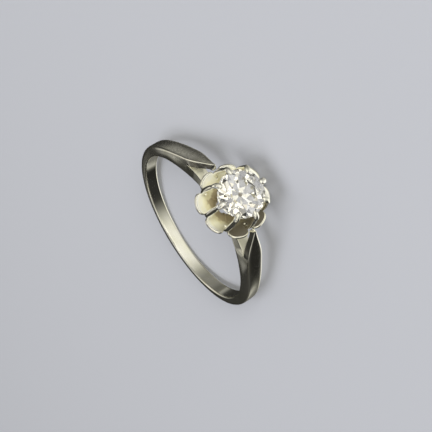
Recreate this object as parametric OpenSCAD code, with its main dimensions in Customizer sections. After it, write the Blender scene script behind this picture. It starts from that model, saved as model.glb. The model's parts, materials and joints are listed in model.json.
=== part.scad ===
// Solitaire ring with a flower collet, lying on its side.
// In the ring's own frame X runs across the hoop, Y from the finger hole's centre to the stone, and Z along
// the finger. The whole ring is then tipped about X, so that it rests on the foot of its shank and on two
// petals.

/* [Finger hole] */
// Diameter of the finger hole
finger_d = 17; // [15:0.1:19]

/* [Shank] */
// Metal between the finger hole and the outer face, at the foot of the shank
foot_t = 0.82; // [0.75:0.01:1.1]
// Metal there at the sides, half way up
side_t = 1.08; // [1:0.02:1.3]
// Width along the finger at the foot
foot_w = 1.4; // [1.2:0.05:2]
// Width along the finger at the sides
side_w = 1.6; // [1.4:0.05:2.2]
// Width along the finger where the shoulders split
shoulder_w = 1.76; // [1.6:0.02:2.4]
// Width along the finger under the head
gallery_w = 1; // [0.9:0.05:1.4]

/* [Shoulder leaves] */
// Height of a leaf's tip over the finger hole's centre
leaf_tip_y = 13; // [12.9:0.05:13.1]
// Distance of a leaf's tip from the middle of the head
leaf_tip_x = 3.7; // [3.6:0.05:3.9]
// Height at which a leaf splits from the hoop
split_y = 8.66; // [8.5:0.02:8.8]

/* [Flower collet] */
// Distance of a petal's tip from the head's axis
petal_r = 3.72; // [3.64:0.02:3.8]
// Height of the petals' tips over the finger hole's centre
petal_y = 12.1; // [11.9:0.05:12.3]
// Width of a petal, as a share of its eighth of the collet
petal_share = 0.86; // [0.8:0.02:0.92]
// Distance from the axis of the notch between two petals
notch_r = 2.7; // [2.6:0.02:2.8]
// Depth of that notch below the petals' tips
notch_drop = 0.85; // [0.8:0.05:0.95]
// How far the edges of each petal curl up
petal_cup = 0.14; // [0:0.02:0.2]
// Outer radius of the collet's base
base_r = 1.5; // [1.4:0.05:1.6]
// Thickness of the petals' metal
petal_t = 0.3; // [0.25:0.01:0.35]

/* [Stone] */
// Diameter of the round stone
stone_d = 4.76; // [4.6:0.02:4.8]
// Height of the stone's girdle over the finger hole's centre
girdle_y = 14.8; // [14.6:0.05:15]
// Diameter of its flat table, as a share of its own
table_share = 0.53; // [0.45:0.01:0.6]
// Height of the crown over the girdle
crown_h = 0.72; // [0.6:0.02:0.8]
// Depth of the pavilion under the girdle
pavilion_h = 2.05; // [1.8:0.05:2.1]
// Thickness of the girdle
girdle_t = 0.12; // [0.08:0.02:0.16]
// Space between the stone and the claws that hold it
stone_gap = 0.03; // [0.02:0.01:0.05]

/* [Hidden] */

finger_r = finger_d / 2;
// The shank's outer face is a round cylinder whose axis lies towards the head, so the metal thickens upwards.
shank_shift = (pow(finger_r + side_t, 2) - pow(finger_r + foot_t, 2)) / (2 * (finger_r + foot_t));
shank_r = finger_r + foot_t + shank_shift;
stone_r = stone_d / 2;
reach = 30;
smooth = 96;

function mix(a, b, t) = a * (1 - t) + b * t;
function bezier(p, t) = pow(1 - t, 3) * p[0] + 3 * t * pow(1 - t, 2) * p[1]
    + 3 * t * t * (1 - t) * p[2] + pow(t, 3) * p[3];
function curve(p, steps) = [for (i = [0 : steps]) bezier(p, i / steps)];
function unit(v) = v / norm(v);

// Half widths of the shank and its leaves, which end like a pointed arch. Columns: height, half width.
shank_stations = [
    [-shank_r, foot_w / 2],
    [0, side_w / 2],
    [5, shoulder_w / 2],
    [8.6, shoulder_w / 2],
    [9.4, shoulder_w / 2 - 0.02],
    [10, shoulder_w / 2 - 0.09],
    [10.6, shoulder_w / 2 - 0.22],
    [11.2, shoulder_w / 2 - 0.38],
    [11.9, shoulder_w / 2 - 0.56],
    [12.5, shoulder_w / 2 - 0.7],
    [leaf_tip_y, 0.06],
];

// Half widths of the narrower band that lines the finger hole under the leaves. Columns: height, half width.
band_stations = [
    [3.6, shoulder_w / 2 - 0.05],
    [4.6, shoulder_w / 2 - 0.03],
    [6, shoulder_w / 2 - 0.07],
    [7.2, mix(gallery_w, shoulder_w, 0.5) / 2],
    [8.2, gallery_w / 2 + 0.03],
    [9.2, gallery_w / 2],
    [11, gallery_w / 2],
];

// A slab that runs across the ring, with the outline that its stations give to both sides.
module slab(stations) {
    far = [for (i = [len(stations) - 1 : -1 : 0]) [stations[i][0], -stations[i][1]]];
    rotate([90, 0, 90]) linear_extrude(height = reach, center = true) polygon(concat(stations, far));
}

// Side view of the shank's right half: up its outer face, out along the leaf to its tip, in to the collet,
// down the gap to the split, in along the root to the collet again, and back over the band.
arc_steps = 25;
leaf_steps = 16;
leaf_start_y = 2.5;
leaf_start_angle = asin((leaf_start_y - shank_shift) / shank_r);
shank_arc = [for (i = [0 : arc_steps])
    let (angle = mix(-90, leaf_start_angle, i / arc_steps))
    [shank_r * cos(angle), shank_shift + shank_r * sin(angle)]];
leaf_start = shank_arc[arc_steps];
leaf_along = 3 * [-sin(leaf_start_angle), cos(leaf_start_angle)];
leaf_tip = [leaf_tip_x, leaf_tip_y];
leaf_outer = curve([leaf_start, leaf_start + leaf_along, [5.5, 9.7], leaf_tip], leaf_steps);
leaf_foot = [leaf_tip - [0.22, 0.3], [3.2, 12.2], [2.75, 12], [2.75, 11.6]];
leaf_inner = curve([[3.68, 11.85], [4.1, 11.1], [4.6, 9.9], [5.32, split_y]], leaf_steps / 2);
root_top = [[4.5, split_y + 0.2], [3.8, 9.04], [2.6, 9.3], [base_r - 0.45, 9.45]];
root_r = finger_r + 0.3;
root_arc = [for (angle = [83 : -3 : 32]) root_r * [cos(angle), sin(angle)]];
inside_r = finger_r - 1;
shank_inside = [inside_r * [cos(28), sin(28)], [inside_r, 0], [0, -inside_r]];
half_shank = concat(shank_arc, [for (i = [1 : leaf_steps]) leaf_outer[i]], leaf_foot, leaf_inner, root_top,
    root_arc, shank_inside);

module shank() {
    left = [for (i = [len(half_shank) - 2 : -1 : 1]) [-half_shank[i][0], half_shank[i][1]]];
    intersection() {
        linear_extrude(height = reach, center = true) polygon(concat(half_shank, left));
        slab(shank_stations);
    }
}

// The band stops at the collet, which stays open down to the finger hole.
module band() {
    intersection() {
        difference() {
            cylinder(r = root_r + 0.3, h = reach, center = true, $fn = smooth);
            rotate([-90, 0, 0]) cylinder(r = base_r - 0.4, h = reach, $fn = smooth);
        }
        slab(band_stations);
    }
}

// The petals are bent by hand: how far each tip lies beyond petal_r, starting at the shank's right side.
petal_bend = [0, 0.08, 0.08, -0.18, -0.12, 0.1, 0.04, 0.1];
petals = len(petal_bend);
pitch = 360 / petals;
// The collet's wall, a cup on a narrow stem. Places u across a petal run from -1 to 1 over its eighth of the
// collet. Its columns lie closer together near the notches, and its rows run from the base to the rim.
petal_cols = 12;
petal_rows = 8;
base = [base_r, 8.2];
stem = [base_r - 1.2, 10.3];
function tip_line(k) = [base, stem, [2.2, 10.65], [petal_r + petal_bend[k], petal_y]];
notch_line = [base, stem, [1.85, 10.55], [notch_r, petal_y - notch_drop]];
lobe_power = 3.6;
columns_u = [for (c = [0 : petal_cols - 1]) petal_share * sin(180 * c / (petal_cols - 1) - 90)];
function lobe(u) = pow(1 - pow(min(1, abs(u) / petal_share), lobe_power), 1 / lobe_power);
function wall_line(k, u, t) = mix(bezier(notch_line, t), bezier(tip_line(k), t), lobe(u));
function wall_normal(k, u, t) =
    let (d = unit(wall_line(k, u, min(1, t + 0.01)) - wall_line(k, u, t - 0.01))) [-d[1], d[0]];
function wall_outer(k, u, t) =
    wall_line(k, u, t) + petal_cup * pow(u / petal_share, 2) * pow(t, 3) * wall_normal(k, u, t);
function wall_inner(k, u, t) = wall_outer(k, u, t) + petal_t * wall_normal(k, u, t);
function wall_rim(k, u) = (wall_outer(k, u, 1) + wall_inner(k, u, 1)) / 2
    + petal_t * 0.3 * unit(wall_outer(k, u, 1) - wall_outer(k, u, 0.97));
function wall_section(k, u) = concat(
    [for (i = [0 : petal_rows]) wall_outer(k, u, i / petal_rows)],
    [wall_rim(k, u)],
    [for (i = [petal_rows : -1 : 0]) wall_inner(k, u, i / petal_rows)]);
// Places a point of a section at its angle round the head's axis.
function turned(p, k, u) =
    let (angle = pitch * (k + (u + 1) / 2)) [p[0] * cos(angle), p[0] * sin(angle), p[1]];

module petal_wall() {
    columns = petals * petal_cols;
    side = 2 * petal_rows + 3;
    points = [for (k = [0 : petals - 1]) for (u = columns_u) for (p = wall_section(k, u)) turned(p, k, u)];
    faces = [for (c = [0 : columns - 1]) for (i = [0 : side - 1])
        let (a = c * side, b = ((c + 1) % columns) * side, j = (i + 1) % side)
        each [[a + i, a + j, b + i], [b + i, a + j, b + j]]];
    polyhedron(points, faces, convexity = 6);
}

// A claw in the plane of the head's axis. Columns: distance from the axis, height, half width, half depth.
claw_stations = [
    [2, 10.8, 0.2, 0.1],
    [2.4, 11.1, 0.3, 0.16],
    [2.72, 11.45, 0.36, 0.2],
    [2.92, 11.9, 0.38, 0.22],
    [2.99, 12.45, 0.36, 0.22],
    [2.97, 13.1, 0.32, 0.21],
    [2.86, 13.8, 0.28, 0.21],
    [stone_r + stone_gap + 0.3, girdle_y - 0.35, 0.26, 0.21],
    [stone_r + stone_gap + 0.25, girdle_y, 0.27, 0.22],
    [stone_r + 0.15, girdle_y + 0.24, 0.29, 0.2],
    [stone_r - 0.05, girdle_y + 0.36, 0.28, 0.17],
    [stone_r - 0.26, girdle_y + 0.44, 0.23, 0.13],
    [stone_r - 0.37, girdle_y + 0.47, 0.12, 0.07],
];
claw_sides = 8;
claw_turn = 180 / claw_sides;

function claw_heading(i) =
    let (a = claw_stations[max(0, i - 1)], b = claw_stations[min(len(claw_stations) - 1, i + 1)])
    unit([b[0] - a[0], b[1] - a[1]]);
function claw_ring(i) =
    let (s = claw_stations[i], d = claw_heading(i), n = [-d[1], d[0]])
    [for (k = [0 : claw_sides - 1])
        let (w = s[2] * cos((2 * k + 1) * claw_turn) / cos(claw_turn),
             h = s[3] * sin((2 * k + 1) * claw_turn) / cos(claw_turn))
        [s[0] + n[0] * h, w, s[1] + n[1] * h]];

module claw() {
    rings = len(claw_stations);
    points = [for (i = [0 : rings - 1]) each claw_ring(i)];
    sides = [for (i = [0 : rings - 2]) for (k = [0 : claw_sides - 1])
        let (a = i * claw_sides, b = a + claw_sides, j = (k + 1) % claw_sides)
        each [[a + k, b + k, a + j], [a + j, b + k, b + j]]];
    start = [for (k = [0 : claw_sides - 1]) k];
    end = [for (k = [claw_sides - 1 : -1 : 0]) (rings - 1) * claw_sides + k];
    polyhedron(points, concat(sides, [start, end]), convexity = 4);
}

module head() {
    rotate([-90, 0, 0]) {
        petal_wall();
        for (i = [0 : petals - 1]) rotate([0, 0, i * pitch]) claw();
    }
}

// The supporting line from the foot of the shank to the two lowest petals gives the angle at which the ring
// rests. Those petals are alike, so the line is worked out for one of them.
low_petal = 1;
foot_corner = [shank_shift - shank_r, -foot_w / 2];
rim_line = [for (u = columns_u) let (p = turned(wall_rim(low_petal, u), low_petal, u)) [p[2], -p[1]]];
rest_tilt = max([for (p = rim_line) atan2(foot_corner[1] - p[1], p[0] - foot_corner[0])]);

module ring_mount() {
    color("gainsboro") rotate([rest_tilt, 0, 0]) difference() {
        union() {
            shank();
            band();
            head();
        }
        cylinder(r = finger_r, h = reach, center = true, $fn = smooth);
    }
}

// The stone is a round old brilliant cut. Its corners, as distance from the axis, height over the girdle and
// turn, ring by ring from the table to the culet.
table_r = stone_r * table_share;
star_r = mix(table_r, stone_r, 0.52);
lower_r = stone_r * 0.62;
culet_r = stone_r * 0.09;
stone_sides = 8;
half_turn = 180 / stone_sides;
// Heights that keep each kite of the crown and each main facet of the pavilion flat.
function crown_at(r, turn) = crown_h * (stone_r - r * cos(turn)) / (stone_r - table_r);
function pavilion_at(r, turn) =
    -pavilion_h * (stone_r - r * cos(turn)) / (stone_r - culet_r * cos(half_turn));
stone_rings = [
    [table_r, girdle_t / 2 + crown_h, 0],
    [star_r, girdle_t / 2 + crown_at(star_r, half_turn), half_turn],
    [stone_r, girdle_t / 2, 0],
    [stone_r, girdle_t / 2, half_turn],
    [stone_r, -girdle_t / 2, 0],
    [stone_r, -girdle_t / 2, half_turn],
    [lower_r, -girdle_t / 2 + pavilion_at(lower_r, half_turn), half_turn],
    [culet_r, -girdle_t / 2 - pavilion_h, half_turn],
];
function corner(ring, k) = ring * stone_sides + (k + stone_sides) % stone_sides;

module stone() {
    points = [for (ring = stone_rings) for (k = [0 : stone_sides - 1])
        let (angle = 2 * k * half_turn + ring[2]) [ring[0] * cos(angle), ring[0] * sin(angle), ring[1]]];
    table = [for (k = [stone_sides - 1 : -1 : 0]) corner(0, k)];
    culet = [for (k = [0 : stone_sides - 1]) corner(len(stone_rings) - 1, k)];
    sides = [for (k = [0 : stone_sides - 1]) each [
        [corner(0, k), corner(0, k + 1), corner(1, k)],
        [corner(0, k), corner(1, k), corner(2, k), corner(1, k - 1)],
        [corner(1, k), corner(3, k), corner(2, k)],
        [corner(1, k), corner(2, k + 1), corner(3, k)],
        [corner(2, k), corner(3, k), corner(5, k), corner(4, k)],
        [corner(3, k), corner(2, k + 1), corner(4, k + 1), corner(5, k)],
        [corner(4, k), corner(5, k), corner(6, k)],
        [corner(5, k), corner(4, k + 1), corner(6, k)],
        [corner(4, k), corner(6, k), corner(7, k), corner(7, k - 1), corner(6, k - 1)],
    ]];
    color("white") rotate([rest_tilt, 0, 0]) translate([0, girdle_y, 0]) rotate([-90, 0, 0])
        polyhedron(points, concat([table, culet], sides), convexity = 2);
}

ring_mount();
stone();
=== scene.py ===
"""Solitaire ring with a flower collet: fine metal, the cut stone, their finish, the camera and the light."""
import json
import math

import bmesh
import bpy
import numpy as np
from mathutils import Matrix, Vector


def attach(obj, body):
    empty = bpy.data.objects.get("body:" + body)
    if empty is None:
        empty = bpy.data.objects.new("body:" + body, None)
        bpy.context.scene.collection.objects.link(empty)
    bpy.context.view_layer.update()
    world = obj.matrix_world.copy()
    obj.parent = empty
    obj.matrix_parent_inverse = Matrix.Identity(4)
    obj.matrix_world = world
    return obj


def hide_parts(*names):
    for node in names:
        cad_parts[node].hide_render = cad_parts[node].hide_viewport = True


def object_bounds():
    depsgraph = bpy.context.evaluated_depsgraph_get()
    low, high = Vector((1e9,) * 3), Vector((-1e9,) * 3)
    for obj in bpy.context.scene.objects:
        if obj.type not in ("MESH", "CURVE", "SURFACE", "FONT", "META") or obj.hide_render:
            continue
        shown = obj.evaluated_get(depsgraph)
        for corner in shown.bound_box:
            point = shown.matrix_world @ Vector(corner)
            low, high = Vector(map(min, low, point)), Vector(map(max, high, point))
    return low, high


MM = 0.001

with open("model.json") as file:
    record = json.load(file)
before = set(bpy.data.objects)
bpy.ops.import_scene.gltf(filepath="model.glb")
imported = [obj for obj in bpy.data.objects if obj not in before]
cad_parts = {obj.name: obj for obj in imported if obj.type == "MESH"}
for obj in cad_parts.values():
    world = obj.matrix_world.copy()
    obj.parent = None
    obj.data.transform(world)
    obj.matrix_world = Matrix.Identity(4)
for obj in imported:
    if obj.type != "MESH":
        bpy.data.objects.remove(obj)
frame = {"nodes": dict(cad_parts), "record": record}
cad_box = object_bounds()

# The ring's own frame, in millimetres: X across the hoop, Y from the finger hole to the stone, Z along the
# finger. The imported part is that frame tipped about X, by the angle of the finger hole's axis.
hole = next(m for m in frame["record"]["mounts"] if m["name"] == "finger_hole")
finger_r = hole["dims"]["r_mm"]
tilt = math.atan2(-hole["axis"][1], hole["axis"][2])
to_part = Matrix.Rotation(tilt, 3, "X")
to_ring = Matrix.Rotation(-tilt, 3, "X")


def placed(points):
    """Points of the ring's own frame, in millimetres, as points of the part's frame, in metres."""
    p = np.asarray(points, float)
    y = p[..., 1] * math.cos(tilt) - p[..., 2] * math.sin(tilt)
    z = p[..., 1] * math.sin(tilt) + p[..., 2] * math.cos(tilt)
    return np.stack([p[..., 0], y, z], -1) * MM


# Sizes of the CAD part. The shank's outer face and the petals' tips keep a hair inside it.
foot_t, side_t = 0.82, 1.08
shank_shift = ((finger_r + side_t) ** 2 - (finger_r + foot_t) ** 2) / (2 * (finger_r + foot_t))
shank_r = finger_r + foot_t + shank_shift - 0.003
leaf_start_y = 2.5
leaf_tip = np.array([3.7, 13.0])
split = np.array([5.32, 8.66])
petal_r, petal_y = 3.69, 12.1
notch_r, notch_drop = 2.7, 0.85
base_r, petal_t = 1.5, 0.3
petal_cup = 0.14
petal_bend = [0, 0.08, 0.08, -0.18, -0.12, 0.1, 0.04, 0.1]
petals = len(petal_bend)
petal_share, lobe_power = 0.86, 3.6


def bezier(p, t):
    """Points of a cubic curve."""
    p = np.asarray(p, float)
    t = np.asarray(t, float)[..., None]
    return (1 - t) ** 3 * p[0] + 3 * t * (1 - t) ** 2 * p[1] + 3 * t * t * (1 - t) * p[2] + t ** 3 * p[3]


def spline(x, table):
    """A smooth curve through a table with two columns."""
    xs, ys = np.array(table, float).T
    x = np.clip(x, xs[0], xs[-1])
    slope = np.gradient(ys, xs)
    i = np.clip(np.searchsorted(xs, x, side="right") - 1, 0, len(xs) - 2)
    h = xs[i + 1] - xs[i]
    t = (x - xs[i]) / h
    return ((2 * t ** 3 - 3 * t ** 2 + 1) * ys[i] + (t ** 3 - 2 * t ** 2 + t) * h * slope[i]
            + (3 * t ** 2 - 2 * t ** 3) * ys[i + 1] + (t ** 3 - t ** 2) * h * slope[i + 1])


class Builder:
    """Collects closed loops of points into one mesh."""

    def __init__(self):
        self.points, self.faces, self.count = [], [], 0

    def skin(self, loops, closed):
        """Faces from each loop to the next, and where closed from the last to the first."""
        loops = np.asarray(loops, float)
        rows, cols = loops.shape[:2]
        first = self.count
        self.points.append(loops.reshape(-1, 3))
        self.count += rows * cols
        for i in range(rows if closed else rows - 1):
            for j in range(cols):
                k = (j + 1) % cols
                a = first + i * cols
                b = first + (i + 1) % rows * cols
                self.faces.append((a + j, a + k, b + k, b + j))

    def tube(self, loops, start=True, end=True):
        """An open skin through the loops, with its ends capped where asked."""
        first = self.count
        self.skin(loops, closed=False)
        cols = len(loops[0])
        if start:
            self.faces.append(tuple(first + j for j in range(cols - 1, -1, -1)))
        if end:
            self.faces.append(tuple(self.count - cols + j for j in range(cols)))

    def make(self, name, material, smooth_angle, second=None, is_second=None):
        """The mesh as an object. Faces for which is_second holds get the second material."""
        mesh = bpy.data.meshes.new(name)
        mesh.from_pydata(placed(np.concatenate(self.points)).tolist(), [], self.faces)
        welded = bmesh.new()
        welded.from_mesh(mesh)
        bmesh.ops.remove_doubles(welded, verts=welded.verts, dist=0.0005 * MM)
        bmesh.ops.recalc_face_normals(welded, faces=welded.faces)
        welded.to_mesh(mesh)
        welded.free()
        obj = bpy.data.objects.new(name, mesh)
        bpy.context.scene.collection.objects.link(obj)
        mesh.materials.append(material)
        if second:
            mesh.materials.append(second)
            for face in mesh.polygons:
                face.material_index = int(is_second(to_ring @ (face.center / MM), to_ring @ face.normal))
        mesh.shade_smooth()
        mesh.set_sharp_from_angle(angle=math.radians(smooth_angle))
        return obj


def section(corners, radii, splits, arc=6):
    """A loop round a flat polygon with rounded corners. splits gives the places of points along each edge."""
    corners = np.asarray(corners, float)
    count = len(corners)
    loop, starts, ends = [], [], []
    for i in range(count):
        back = corners[i - 1] - corners[i]
        ahead = corners[(i + 1) % count] - corners[i]
        starts.append(corners[i] + back * min(0.5, radii[i] / max(np.linalg.norm(back), 1e-9)))
        ends.append(corners[i] + ahead * min(0.5, radii[i] / max(np.linalg.norm(ahead), 1e-9)))
    for i in range(count):
        for t in np.linspace(0, 1, arc + 1):
            loop.append((1 - t) ** 2 * starts[i] + 2 * t * (1 - t) * corners[i] + t * t * ends[i])
        for f in splits[i]:
            loop.append(ends[i] + f * (starts[(i + 1) % count] - ends[i]))
    return loop


def even(n):
    """Places that cut an edge into n equal parts."""
    return [i / n for i in range(1, n)]


def angles_of(curve):
    """Angles round the finger hole, in degrees, of a row of points."""
    return np.degrees(np.arctan2(curve[:, 1], curve[:, 0]))


def at_angle(angle, curve):
    """Point of a curve at an angle round the finger hole."""
    return np.array([np.interp(angle, angles_of(curve), curve[:, k]) for k in (0, 1)])


def on_hole(angle):
    """Point of the finger hole's wall at an angle."""
    a = math.radians(angle)
    return finger_r * np.array([math.cos(a), math.sin(a)])


# The shank. Its side view is an arc that runs out into the leaves. Its outer edges have the half widths of
# shank_widths and its inner edges those of band_widths, by height over the finger hole's centre.
shank_widths = [(-shank_r, 0.7), (0, 0.8), (5, 0.88), (8.6, 0.88), (9.4, 0.86), (10, 0.79), (10.6, 0.66),
                (11.2, 0.5), (11.9, 0.32), (12.5, 0.18), (leaf_tip[1], 0.06)]
band_widths = [(-shank_r, 0.7), (0, 0.8), (3.6, 0.855), (4.6, 0.84), (6, 0.81), (7.2, 0.69), (8.2, 0.53),
               (9.2, 0.5)]
start_angle = math.asin((leaf_start_y - shank_shift) / shank_r)
leaf_start = np.array([shank_r * math.cos(start_angle), leaf_start_y])
leaf_along = 3 * np.array([-math.sin(start_angle), math.cos(start_angle)])
outer_poles = [leaf_start, leaf_start + leaf_along, (5.5, 9.7), leaf_tip]
outer_places = np.linspace(0, 1, 400)
outer_curve = bezier(outer_poles, outer_places)
leaf_bend = (3.68, 11.85)
leaf_inner = np.concatenate([
    bezier([split, (4.6, 9.9), (4.1, 11.1), leaf_bend], np.linspace(0, 1, 20)),
    bezier([leaf_bend, (3.42, 12.28), (3.1, 12.2), (3.5, 12.78)], np.linspace(0, 1, 14))[1:]])
arm_top = np.array([split, (4.5, 8.86), (3.8, 9.04), (2.6, 9.3), (1.03, 9.45)])
arm_end_angle = 82.6
split_angle = math.degrees(math.atan2(split[1], split[0]))

# Inside the fork the edges have a small radius, which takes no more than a share of a narrow edge's half
# width. The arm's top is a little narrower than its foot, and the leaf's inner edge may stand out as little.
fork_round, round_share = 0.06, 0.8
arm_inset, leaf_overhang, leaf_least_w = 0.02, 0.02, 0.05
fork_floor_low, fork_floor_high = 8.5, 9.6

# How many cuts each stretch has along the shank and across its faces, and over how many the split fades.
HOOP_STEPS, ARM_STEPS, FADE_STEPS = 110, 24, 4
FACE_CUTS, LOWER_CUTS, UPPER_CUTS = 10, 6, 5


def outer_point(angle):
    """Point of the outer outline at an angle round the finger hole, on the right half."""
    if angle > angles_of(outer_curve)[0]:
        return at_angle(angle, outer_curve)
    a = math.radians(angle)
    r = shank_shift * math.sin(a) + math.sqrt(shank_r ** 2 - (shank_shift * math.cos(a)) ** 2)
    return r * np.array([math.cos(a), math.sin(a)])


def round_outer(y):
    """Radius of the outer edges: well rounded below, crisp at the shoulders."""
    return spline(y, [(-shank_r, 0.44), (-3, 0.44), (2, 0.42), (4.5, 0.28), (6.5, 0.18), (9, 0.15),
                      (leaf_tip[1], 0.1)])


def round_inner(y):
    """Radius of the edges at the finger hole."""
    return spline(y, [(-shank_r, 0.2), (-5, 0.18), (0, 0.11), (3, 0.1), (6, 0.09), (leaf_tip[1], 0.07)])


def cross_section(inner, outer, inner_w, outer_w, inner_round, outer_round, side_cuts):
    """A loop round the shank, from its edges, their half widths and radii, and the cuts of its sides."""
    corners = [(*inner, inner_w), (*outer, outer_w), (*outer, -outer_w), (*inner, -inner_w)]
    back_cuts = [1 - f for f in reversed(side_cuts)]
    return section(corners, [inner_round, outer_round, outer_round, inner_round],
                   [side_cuts, even(FACE_CUTS), back_cuts, even(FACE_CUTS)])


def swell(loop, inner, outer, half_width):
    """Bulges the outer face and the sides of a section a little, as on shoulders that were filed by hand."""
    loop = np.array(loop)
    thick = np.linalg.norm(outer - inner)
    way = (outer - inner) / thick
    depth = (loop[:, :2] - inner) @ way / thick
    outer_height = spline(outer[1], [(1.5, 0), (4.5, 0.05), (9, 0.05), (leaf_tip[1], 0)])
    side_height = spline(outer[1], [(1.5, 0), (4, 0.04), (6.8, 0.04), (9.1, 0)])
    across = np.minimum(np.abs(loop[:, 2]) / half_width, 1)
    loop[:, 2] += np.sign(loop[:, 2]) * side_height * np.maximum(1 - (2 * depth - 1) ** 2, 0)
    loop[:, :2] += way * (outer_height * (1 - across ** 2) * (depth > 0.5))[:, None]
    return loop


def hoop_edges(angle):
    """Inner and outer edge of the hoop at an angle, with their half widths and radii."""
    inner, outer = on_hole(angle), outer_point(angle)
    return (inner, outer, spline(inner[1], band_widths), spline(outer[1], shank_widths),
            round_inner(inner[1]), round_outer(outer[1]))


def split_side():
    """Half width of the hoop's side where it splits, and the place of the split between its rounded edges."""
    inner, outer, inner_w, outer_w, inner_round, outer_round = hoop_edges(split_angle)
    share = (np.linalg.norm(split) - finger_r) / (np.linalg.norm(outer) - finger_r)
    length = np.linalg.norm([*(outer - inner), outer_w - inner_w])
    place = (share * length - inner_round) / (length - inner_round - outer_round)
    return inner_w + share * (outer_w - inner_w), place


split_w, split_place = split_side()


def hoop_loops():
    """The right half of the hoop, from its foot to the split, where its cuts are those of leaf and arm."""
    lower = [split_place * (i + 1) / LOWER_CUTS for i in range(LOWER_CUTS)]
    upper = [split_place + (1 - split_place) * (i + 1) / UPPER_CUTS for i in range(UPPER_CUTS - 1)]
    loops = []
    for angle in np.linspace(-90, split_angle, HOOP_STEPS):
        edges = hoop_edges(angle)
        inner, outer, _, outer_w = edges[:4]
        loops.append(swell(cross_section(*edges, lower + upper), inner, outer, outer_w))
    return loops


def leaf_loops():
    """The right leaf, from the split to its tip."""
    start = np.interp(split_angle, angles_of(outer_curve), outer_places)
    leaf_outer = bezier(outer_poles, np.linspace(start, 1, len(leaf_inner)))
    loops = []
    for i, (inner, outer) in enumerate(zip(leaf_inner, leaf_outer)):
        fade = min(1, i / FADE_STEPS)
        inner_w = max(split_w + (spline(inner[1], shank_widths) - split_w) * fade, leaf_least_w)
        outer_w = spline(outer[1], shank_widths)
        inner_round = min(fork_round * fade, inner_w * round_share)
        outer_round = round_outer(outer[1])
        if i > 0:
            outer_round = min(outer_round, outer_w * round_share)
        inner_w = min(inner_w, outer_w + leaf_overhang)
        loop = cross_section(inner, outer, inner_w, outer_w, inner_round, outer_round, even(UPPER_CUTS))
        loops.append(swell(loop, inner, outer, outer_w))
    return loops


def arm_loops():
    """The right lower arm, from the split to the collet."""
    loops = []
    for i, share in enumerate(np.linspace(0, 1, ARM_STEPS)):
        fade = min(1, i / FADE_STEPS)
        inner = on_hole(split_angle + (arm_end_angle - split_angle) * share)
        outer = at_angle(split_angle + (angles_of(arm_top)[-1] - split_angle) * share, arm_top)
        inner_w = spline(inner[1], band_widths)
        outer_w = split_w + (inner_w - arm_inset - split_w) * fade
        loops.append(cross_section(inner, outer, inner_w, outer_w, round_inner(inner[1]), fork_round * fade,
                                   even(LOWER_CUTS)))
    return loops


def in_the_fork(place, way):
    """Whether a face lies on the floor of the fork between leaf and lower arm, where no polisher reaches."""
    return fork_floor_low < place.y < fork_floor_high and abs(place.x) < split[0] - 0.1 and way.y > 0.7


def make_shank(material, rough_material):
    """The hoop, and on each side a leaf and a lower arm that leave it at the split."""
    build = Builder()
    hoop, leaf, arm = hoop_loops(), leaf_loops(), arm_loops()
    for side in (1, -1):
        flip = np.array([side, 1, 1])
        build.tube(np.array(hoop) * flip, start=False, end=False)
        build.tube(np.array(leaf) * flip, start=False)
        build.tube(np.array(arm) * flip, start=False)
    return build.make("shank", material, 38, rough_material, in_the_fork)


# The flower collet, one bent wall on a narrow stem, cut into eight cupped petals. Its outer side, as distance
# from the head's axis and height: the foot and the stem, then the way to a notch or to the tip of a petal.
collet_foot = [(base_r, 8.2), (0.3, 10.3)]
notch_line = [*collet_foot, (1.85, 10.55), (notch_r, petal_y - notch_drop)]
stem_top = 9
rim_pull = 0.2 * petal_t
rim_reach = 0.62 * petal_t


def tip_line(k):
    """The collet's outer side through the tip of petal k."""
    return [*collet_foot, (2.2, 10.65), (petal_r + petal_bend[k], petal_y)]


def lobe(u):
    """Outline of a petal: its share of the way from the notch to the tip, at a place across it."""
    u = min(abs(u) / petal_share, 1)
    return (1 - u ** lobe_power) ** (1 / lobe_power)


def wall_loop(k, u, rows=24, rim=7):
    """Section of the wall in petal k: up its outer side, round the rim and down its inner side."""
    t = np.linspace(0, 1, rows)
    share = lobe(u)

    def outer(t):
        return bezier(notch_line, t) * (1 - share) + bezier(tip_line(k), t) * share

    along = outer(np.minimum(t + 0.01, 1)) - outer(t - 0.01)
    along /= np.linalg.norm(along, axis=1, keepdims=True)
    normal = np.stack([-along[:, 1], along[:, 0]], 1)
    out = outer(t) + normal * (petal_cup * (u / petal_share) ** 2 * t ** 3)[:, None]
    inside = out + petal_t * normal
    middle = (out[-1] + inside[-1]) / 2 - along[-1] * rim_pull
    turn = np.radians(np.linspace(-90, 90, rim + 2))[:, None]
    cap = middle + petal_t / 2 * (np.cos(turn) * along[-1] + np.sin(turn) * normal[-1])
    return np.concatenate([out[:-1], cap, inside[-2::-1]])


def head_points(section_points, angle):
    """Turns points (distance from the head's axis, height) to their angle round it."""
    a = math.radians(angle)
    p = np.asarray(section_points)
    return np.stack([p[:, 0] * math.cos(a), p[:, 1], -p[:, 0] * math.sin(a)], 1)


def polished(place, way):
    """Whether a face lies on the collet's outside, at the finger hole or on the rim of a petal."""
    from_axis = math.hypot(place.x, place.z)
    if place.y < stem_top or way.x * place.x + way.z * place.z > 0.1 * from_axis:
        return True
    turn = math.degrees(math.atan2(-place.z, place.x)) % 360 / (360 / petals)
    u = 2 * (turn % 1) - 1
    if abs(u) > petal_share * 0.99:
        return False
    loop = wall_loop(min(int(turn), petals - 1), u)
    rim = loop[len(loop) // 2]
    return math.hypot(from_axis - rim[0], place.y - rim[1]) < rim_reach


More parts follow.
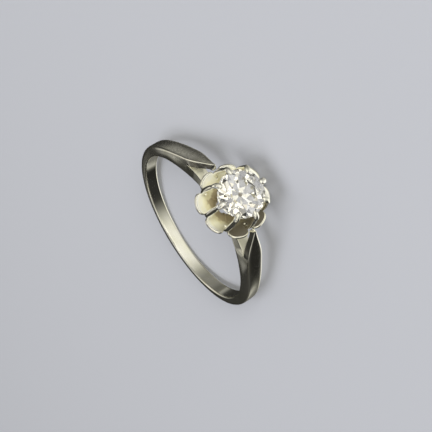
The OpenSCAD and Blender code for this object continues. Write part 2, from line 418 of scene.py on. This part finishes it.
def make_collet(material, rim_material, steps=28):
    """The wall of the collet, petal by petal round the head's axis."""
    build = Builder()
    pitch = 360 / petals
    loops = []
    for k in range(petals):
        for i in range(steps):
            u = petal_share * math.sin((i / (steps - 1) - 0.5) * math.pi)
            loop = head_points(wall_loop(k, u), pitch * (k + (u + 1) / 2))
            # The foot of the stem is cut by the finger hole.
            loop[:, 1] = np.maximum(loop[:, 1], np.sqrt(np.maximum(finger_r ** 2 - loop[:, 0] ** 2, 0)))
            loops.append(loop)
    build.skin(loops, closed=True)
    return build.make("collet", material, 50, rim_material, polished)


# A claw in the plane of the head's axis: distance from the axis, height, half width, half depth.
claw_stations = [
    (2.0, 10.8, 0.2, 0.1),
    (2.4, 11.1, 0.3, 0.16),
    (2.72, 11.45, 0.36, 0.2),
    (2.92, 11.9, 0.38, 0.22),
    (2.99, 12.45, 0.36, 0.22),
    (2.97, 13.1, 0.32, 0.21),
    (2.86, 13.8, 0.28, 0.21),
    (2.71, 14.45, 0.26, 0.21),
    (2.66, 14.8, 0.27, 0.22),
    (2.53, 15.04, 0.29, 0.2),
    (2.33, 15.16, 0.28, 0.17),
    (2.12, 15.24, 0.23, 0.13),
    (2.01, 15.27, 0.12, 0.07),
]


def make_claws(material, rows=60, sides=20):
    """A claw in each notch between two petals, oval in section and bent over the stone's edge."""
    build = Builder()
    s = np.array(claw_stations)
    run = np.concatenate([[0], np.cumsum(np.linalg.norm(np.diff(s[:, :2], axis=0), axis=1))])
    places = np.linspace(0, run[-1], rows)
    r, y, half_w, half_d = [spline(places, np.stack([run, s[:, k]], 1)) for k in range(4)]
    heading = np.stack([np.gradient(r, places), np.gradient(y, places)], 1)
    heading /= np.linalg.norm(heading, axis=1, keepdims=True)
    turn = np.linspace(0, 2 * math.pi, sides, endpoint=False)
    for i in range(petals):
        a = math.radians(i * 360 / petals)
        loops = []
        for j in range(rows):
            w = half_w[j] * np.cos(turn)
            h = half_d[j] * np.sin(turn)
            radial = r[j] - heading[j, 1] * h
            up = y[j] + heading[j, 0] * h
            loops.append(np.stack([radial * math.cos(a) - w * math.sin(a), up,
                                   -(radial * math.sin(a) + w * math.cos(a))], 1))
        build.tube(loops)
    return build.make("claws", material, 60)


def nodes_of(owner):
    """The emptied node tree of a material or world."""
    owner.use_nodes = True
    owner.node_tree.nodes.clear()
    return owner.node_tree


def add(tree, kind, **values):
    """A new node with its properties set."""
    node = tree.nodes.new(kind)
    for key, value in values.items():
        setattr(node, key, value)
    return node


def math_of(tree, operation, *values):
    """Result of a math node whose inputs are sockets or constants."""
    node = add(tree, "ShaderNodeMath", operation=operation)
    for value, socket in zip(values, node.inputs):
        if isinstance(value, (int, float)):
            socket.default_value = value
        else:
            tree.links.new(value, socket)
    return node.outputs[0]


def value_range(tree, value, low, high, to_low, to_high):
    """A value taken from one range to another."""
    node = add(tree, "ShaderNodeMapRange")
    for key, number in (("From Min", low), ("From Max", high), ("To Min", to_low), ("To Max", to_high)):
        node.inputs[key].default_value = number
    tree.links.new(value, node.inputs["Value"])
    return node.outputs[0]


def mixed(tree, share, a, b):
    """Colour a turned into colour b by a share, where each is a socket or a constant."""
    node = add(tree, "ShaderNodeMix", data_type="RGBA")
    tree.links.new(share, node.inputs["Factor"])
    for key, value in (("A", a), ("B", b)):
        if isinstance(value, tuple):
            node.inputs[key].default_value = (*value, 1)
        else:
            tree.links.new(value, node.inputs[key])
    return node.outputs["Result"]


def colour_ramp(tree, place, stops):
    """Colour at a place from 0 to 1, blended between stops."""
    node = add(tree, "ShaderNodeValToRGB")
    elements = node.color_ramp.elements
    for j, (position, colour) in enumerate(stops):
        stop = elements[j] if j < 2 else elements.new(0.999)
        stop.position = position
        stop.color = (*colour, 1)
    tree.links.new(place, node.inputs["Fac"])
    return node.outputs["Color"]


def noise(tree, place, scale, detail):
    """Cloudy noise from 0 to 1."""
    node = add(tree, "ShaderNodeTexNoise")
    node.inputs["Scale"].default_value = scale
    node.inputs["Detail"].default_value = detail
    tree.links.new(place, node.inputs["Vector"])
    return node.outputs["Fac"]


def ring_axes(tree, place):
    """The place in the ring's own frame, as separate coordinates."""
    ring = add(tree, "ShaderNodeVectorRotate", rotation_type="X_AXIS")
    ring.inputs["Angle"].default_value = -tilt
    tree.links.new(place, ring.inputs["Vector"])
    xyz = add(tree, "ShaderNodeSeparateXYZ")
    tree.links.new(ring.outputs[0], xyz.inputs[0])
    return xyz.outputs["X"], xyz.outputs["Y"], xyz.outputs["Z"]


def flat_point(tree, x, y):
    """Two coordinates joined to a point with no height."""
    node = add(tree, "ShaderNodeCombineXYZ")
    tree.links.new(x, node.inputs["X"])
    tree.links.new(y, node.inputs["Y"])
    return node.outputs[0]


def distance(tree, a, b):
    """Distance from an axis, from the two coordinates across it."""
    node = add(tree, "ShaderNodeVectorMath", operation="LENGTH")
    tree.links.new(flat_point(tree, a, b), node.inputs[0])
    return node.outputs["Value"]


def hoop_coordinates(tree, place, along, across):
    """Coordinates that run round the finger hole and across the band, in noise cells per mm."""
    x, y, z = ring_axes(tree, place)
    angle = math_of(tree, "ARCTAN2", y, x)
    return flat_point(tree, math_of(tree, "MULTIPLY", angle, finger_r * along),
                      math_of(tree, "MULTIPLY", z, across / MM))


def surface(name):
    """A new material with one shader: the material, its tree, the shader and the object's coordinates."""
    material = bpy.data.materials.new(name)
    tree = nodes_of(material)
    shader = add(tree, "ShaderNodeBsdfPrincipled")
    tree.links.new(shader.outputs[0], add(tree, "ShaderNodeOutputMaterial").inputs[0])
    return material, tree, shader, add(tree, "ShaderNodeTexCoord").outputs["Object"]


def wear_marks(tree, place):
    """Roughness that small scratches and specks add to the outer faces, more so on one shoulder."""
    x, y, _ = ring_axes(tree, place)
    outside = value_range(tree, distance(tree, x, y), 9.25 * MM, 9.7 * MM, 0, 1)
    one_side = value_range(tree, x, -4 * MM, 2 * MM, 1, 0.15)
    specks = value_range(tree, noise(tree, place, 4200, 4), 0.4, 0.72, 0, 0.22)
    return math_of(tree, "MULTIPLY", math_of(tree, "MULTIPLY", outside, one_side), specks)


def tarnish_with_painted_shade(tree, place, shades):
    """Petal colour by radius from the head's axis, brown deep in the cup and cream towards the tips: partly
    tarnish and partly painted shade under the stone. The petals on the +X side also get painted shade. shades
    by radius.
    """
    x, _, z = ring_axes(tree, place)
    uneven = value_range(tree, noise(tree, place, 1500, 3), 0.3, 0.7, -0.3 * MM, 0.3 * MM)
    out = value_range(tree, math_of(tree, "ADD", distance(tree, x, z), uneven), 0, petal_r * MM, 0, 1)
    skin = colour_ramp(tree, out, [(radius / petal_r, shade) for radius, shade in shades])
    # Painted shade: the petals on the side of one shoulder (+X) are turned most of the way to dark brown, as
    # if they lay in shade.
    painted_shade_brown = (0.08, 0.065, 0.04)
    return mixed(tree, value_range(tree, x, 1.0 * MM, 2.4 * MM, 0, 0.95), skin, painted_shade_brown)


def relief(tree, layers):
    """Normal of a surface with layers of bumps: their height, strength and depth in mm."""
    normal = None
    for height, strength, depth in layers:
        bump = add(tree, "ShaderNodeBump")
        bump.inputs["Strength"].default_value = strength
        bump.inputs["Distance"].default_value = depth * MM
        tree.links.new(height, bump.inputs["Height"])
        if normal:
            tree.links.new(normal, bump.inputs["Normal"])
        normal = bump.outputs[0]
    return normal


def metal(name, colour, metallic, roughness, spread, hairline=0, dents=0, worn=False, tarnish_and_shade=False):
    """White gold: mottled tone, uneven polish, hairlines along the hoop and small dents from wear.
    With tarnish and shade, colour is the row of petal shades by radius, which are partly tarnish and partly
    painted shade."""
    material, tree, shader, place = surface(name)
    fine = noise(tree, place, 4200, 5)
    broad = noise(tree, place, 500, 3)
    lines = noise(tree, hoop_coordinates(tree, place, 0.7, 22), 1, 4)
    dull = value_range(tree, fine, 0.3, 0.7, roughness - spread, roughness + spread)
    if worn:
        dull = math_of(tree, "ADD", dull, wear_marks(tree, place))
    if tarnish_and_shade:
        skin = tarnish_with_painted_shade(tree, place, colour)
    else:
        shadow = tuple(c * f for c, f in zip(colour, (0.94, 0.94, 0.87)))
        skin = mixed(tree, value_range(tree, broad, 0.35, 0.6, 0, 1), shadow, colour)
    normal = relief(tree, [(broad, dents, 0.03), (fine, dents * 0.5, 0.01), (lines, hairline, 0.004)])
    shader.inputs["Metallic"].default_value = metallic
    tree.links.new(dull, shader.inputs["Roughness"])
    tree.links.new(skin, shader.inputs["Base Color"])
    tree.links.new(normal, shader.inputs["Normal"])
    return material


def diamond():
    """The cut stone: clear, faintly tinted, with a breath of wear in patches of its facets."""
    material, tree, shader, place = surface("diamond")
    dull = value_range(tree, noise(tree, place, 1800, 4), 0.5, 0.7, 0, 0.05)
    shader.inputs["Base Color"].default_value = (0.94, 0.92, 0.865, 1)
    tree.links.new(dull, shader.inputs["Roughness"])
    shader.inputs["IOR"].default_value = 2.42
    shader.inputs["Transmission Weight"].default_value = 1
    return material


# Petal shades by radius: the dark brown deep in the cup is painted shade under the stone and claws, with some
# tarnish.
petal_shades = [(1.9, (0.5, 0.42, 0.25)), (2.2, (0.86, 0.8, 0.5)), (2.8, (0.96, 0.93, 0.68)),
                (3.5, (0.99, 0.98, 0.88))]
gold = metal("white_gold", (0.9, 0.885, 0.82), metallic=1, roughness=0.1, spread=0.02, hairline=0.3,
             dents=0.1, worn=True)
fork_gold = metal("fork_gold", (0.8, 0.78, 0.66), metallic=0.5, roughness=0.22, spread=0.02)
petal_gold = metal("petal_gold", petal_shades, metallic=0.3, roughness=0.36, spread=0.03, tarnish_and_shade=True)
claw_gold = metal("claw_gold", (0.92, 0.91, 0.87), metallic=1, roughness=0.12, spread=0.03, dents=0.05)
for piece in (make_shank(gold, fork_gold), make_collet(petal_gold, gold), make_claws(claw_gold)):
    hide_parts("ring_mount")
    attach(piece, "root")

stone = frame["nodes"]["stone"]
stone.data.materials.clear()
stone.data.materials.append(diamond())

# The camera stands where the photograph was taken from. In the ring's own frame it looks at the finger hole's
# centre from an azimuth (from Y towards X) and an elevation (towards Z), and the roll turns it about its own
# axis. The photograph's middle lies to the right of that centre and above it.
view_azimuth, view_elevation, view_roll = (math.radians(angle) for angle in (1.23, 19.534, 58.892))
view_distance = 118.06
frame_px = 432
focal_px = 1121.155
crop_right_px, crop_up_px = 18.565, 8.25
sensor_width = 36
camera = bpy.data.objects.new("camera", bpy.data.cameras.new("camera"))
bpy.context.scene.collection.objects.link(camera)
turned = to_part @ Matrix.Rotation(-view_azimuth, 3, "Z")
turned = turned @ Matrix.Rotation(view_elevation - math.pi / 2, 3, "X") @ Matrix.Rotation(view_roll, 3, "Z")
camera.matrix_world = turned.to_4x4() @ Matrix.Translation((0, 0, view_distance * MM))
camera.data.sensor_width = sensor_width
camera.data.lens = focal_px / frame_px * sensor_width
camera.data.shift_x = crop_right_px / frame_px
camera.data.shift_y = crop_up_px / frame_px
camera.data.clip_start = 0.001
camera.data.clip_end = 10
bpy.context.scene.camera = camera

# The floor lies under the lowest point.
floor_z = cad_box[0][2]
floor_half = 3
floor_corners = [(x * floor_half, y * floor_half, floor_z) for x, y in ((-1, -1), (1, -1), (1, 1), (-1, 1))]
floor_mesh = bpy.data.meshes.new("floor")
floor_mesh.from_pydata(floor_corners, [], [(0, 1, 2, 3)])
floor = bpy.data.objects.new("floor", floor_mesh)
bpy.context.scene.collection.objects.link(floor)
paper = bpy.data.materials.new("pale_floor")
paper_tree = nodes_of(paper)
shade = add(paper_tree, "ShaderNodeBsdfDiffuse")
shade.inputs["Color"].default_value = (0.4, 0.41, 0.45, 1)
paper_tree.links.new(shade.outputs[0], add(paper_tree, "ShaderNodeOutputMaterial").inputs[0])
floor_mesh.materials.append(paper)
floor.visible_glossy = False

# The studio round the ring: brightness by direction. Each row is an elevation, from the floor's side up, with
# its levels at azimuths that run from the camera's side (0) towards +X (90). Rows and stops blend.
studio = [
    (-60, [(-180, 0.6), (-90, 0.5), (0, 0.6), (40, 1.2), (90, 1.2), (150, 1.0), (180, 0.6)]),
    (-42, [(-180, 0.2), (-110, 0.3), (-70, 0.1), (-20, 0.4), (40, 1.0), (80, 1.5), (150, 1.5), (165, 0.8),
           (180, 0.2)]),
    (-29, [(-180, 0.03), (-160, 0.03), (-140, 0.04), (-118, 0.04), (-106, 0.2), (-82, 0.3), (-60, 0.2),
           (-40, 0.4), (0, 0.9), (40, 0.6), (60, 0.2), (75, 0.03), (115, 0.02), (128, 0.04), (134, 0.1),
           (156, 0.15), (172, 0.2), (180, 0.05)]),
    (-26, [(-180, 0.03), (-140, 0.03), (-130, 0.05), (-125, 0.22), (-121, 0.2), (-118, 0.1), (-106, 0.25),
           (-94, 0.25), (-82, 0.3), (-60, 0.25), (-40, 0.4), (0, 0.9), (40, 0.6), (60, 0.1), (75, 0.03),
           (122, 0.02), (126, 0.1), (132, 0.35), (142, 0.2), (172, 0.18), (180, 0.05)]),
    (-24, [(-180, 0.03), (-140, 0.04), (-129, 0.06), (-123, 0.25), (-118, 0.33), (-115, 0.14), (-106, 0.2),
           (-94, 0.25), (-82, 0.3), (-60, 0.25), (-40, 0.4), (0, 0.9), (40, 0.6), (60, 0.1), (75, 0.03),
           (120, 0.02), (126, 0.1), (132, 0.5), (147, 0.6), (154, 0.2), (180, 0.03)]),
    (-21, [(-180, 0.03), (-134, 0.05), (-127, 0.2), (-119, 0.35), (-115, 0.14), (-106, 0.12), (-94, 0.22),
           (-82, 0.26), (-70, 0.25), (-50, 0.5), (-20, 0.9), (10, 0.8), (30, 0.5), (50, 0.15), (62, 0.03),
           (115, 0.02), (132, 0.06), (147, 0.08), (154, 0.05), (180, 0.03)]),
    (-12, [(-180, 0.02), (-120, 0.05), (-95, 0.15), (-72, 0.22), (-61, 0.36), (-50, 0.65), (-38, 0.87),
           (-22, 0.95), (-5, 0.85), (17, 0.8), (28, 0.68), (40, 0.45), (51, 0.2), (62, 0.06), (74, 0.03),
           (130, 0.1), (180, 0.02)]),
    (-2, [(-180, 0.02), (-125, 0.05), (-100, 0.2), (-80, 0.2), (-50, 0.6), (-15, 1.4), (20, 1.6), (36, 0.6),
          (55, 0.1), (120, 0.05), (180, 0.02)]),
    (10, [(-180, 0.04), (-130, 0.06), (-110, 0.25), (-60, 0.5), (-20, 1.1), (20, 1.3), (45, 0.6), (65, 0.1),
          (120, 0.05), (180, 0.04)]),
    (14, [(-180, 0.06), (-178, 0.5), (-175, 0.45), (-172, 0.1), (-155, 0.1), (-145, 0.3), (-105, 0.4),
          (-60, 0.5), (-20, 1.05), (20, 1.25), (45, 0.65), (65, 0.25), (105, 0.15), (130, 0.05),
          (180, 0.04)]),
    (19, [(-180, 0.08), (-176, 0.15), (-171, 0.6), (-160, 0.5), (-145, 0.6), (-105, 0.6), (-60, 0.5),
          (-20, 1.0), (20, 1.15), (45, 0.75), (65, 0.5), (105, 0.4), (130, 0.05), (180, 0.04)]),
    (26, [(-180, 0.08), (-176, 0.15), (-170, 0.5), (-155, 0.5), (-145, 1.0), (-105, 1.0), (-90, 0.4),
          (-60, 0.5), (-25, 1.0), (60, 1.0), (105, 0.7), (130, 0.05), (180, 0.05)]),
    (46, [(-180, 0.03), (-165, 0.03), (-150, 1.0), (-105, 0.9), (-92, 0.1), (-60, 0.1), (-48, 0.95),
          (-20, 0.95), (-8, 0.1), (18, 0.1), (30, 1.0), (60, 1.0), (72, 0.15), (95, 0.15), (105, 0.9),
          (125, 0.8), (140, 0.1), (180, 0.03)]),
    (70, [(-180, 0.2), (-120, 0.8), (-60, 0.2), (0, 0.85), (60, 0.2), (120, 0.8), (180, 0.2)]),
    (90, [(-180, 0.55), (180, 0.55)]),
]
studio_tint = (1.0, 0.985, 0.89)
sky_tints = {26: (1.0, 0.95, 0.82), 70: (0.93, 0.95, 1.0)}
backdrop = (0.52, 0.53, 0.56)

# Light seen through the stone counts for more from above, where the lamps are: by this factor over the higher
# elevation, and by none under the lower one.
stone_boost = 2.3
boost_from, boost_to = 11, 26


def studio_light(tree, azimuth, elevation):
    """Colour of the studio in a direction."""
    turn = value_range(tree, azimuth, -math.pi, math.pi, 0, 1)
    light, below = None, None
    for degrees, stops in studio:
        tint = sky_tints.get(degrees, studio_tint)
        row = colour_ramp(tree, turn, [((angle + 180) / 360, [level * c for c in tint])
                                       for angle, level in stops])
        if light:
            share = value_range(tree, elevation, math.radians(below), math.radians(degrees), 0, 1)
            row = mixed(tree, share, light, row)
        light, below = row, degrees
    return light


def make_studio():
    """The world: the studio that the ring mirrors, and behind the floor a plain backdrop for the camera."""
    world = bpy.data.worlds.new("studio")
    bpy.context.scene.world = world
    tree = nodes_of(world)
    back = add(tree, "ShaderNodeBackground")
    tree.links.new(back.outputs[0], add(tree, "ShaderNodeOutputWorld").inputs[0])
    xyz = add(tree, "ShaderNodeSeparateXYZ")
    tree.links.new(add(tree, "ShaderNodeTexCoord").outputs["Generated"], xyz.inputs[0])
    azimuth = math_of(tree, "ARCTAN2", xyz.outputs["X"], xyz.outputs["Y"])
    elevation = math_of(tree, "ARCSINE", xyz.outputs["Z"])
    path = add(tree, "ShaderNodeLightPath")
    seen = mixed(tree, path.outputs["Is Camera Ray"], studio_light(tree, azimuth, elevation), backdrop)
    tree.links.new(seen, back.inputs["Color"])
    # What the stone throws on the petals keeps its level.
    boost = value_range(tree, elevation, math.radians(boost_from), math.radians(boost_to), 0, stone_boost - 1)
    direct = value_range(tree, path.outputs["Diffuse Depth"], 0, 1, 1, 0)
    through = math_of(tree, "MULTIPLY", path.outputs["Is Transmission Ray"], direct)
    tree.links.new(math_of(tree, "MULTIPLY_ADD", through, boost, 1), back.inputs["Strength"])


def soft_lamp(name, size, energy, place):
    """A square lamp that faces the finger hole's centre. Neither polished metal nor the stone shows it."""
    lamp = bpy.data.lights.new(name, "AREA")
    lamp.size = size
    lamp.energy = energy
    obj = bpy.data.objects.new(name, lamp)
    obj.location = place
    obj.rotation_euler = (-obj.location).to_track_quat("-Z", "Y").to_euler()
    obj.visible_glossy = False
    obj.visible_transmission = False
    bpy.context.scene.collection.objects.link(obj)


make_studio()
soft_lamp("overhead", 0.5, 3, (0, 0, 0.7))
# The fill lights the petals from the stone's side.
soft_lamp("fill", 0.3, 3.2, (-0.07, 0.55, 0.19))

bpy.context.scene.view_settings.view_transform = "Standard"
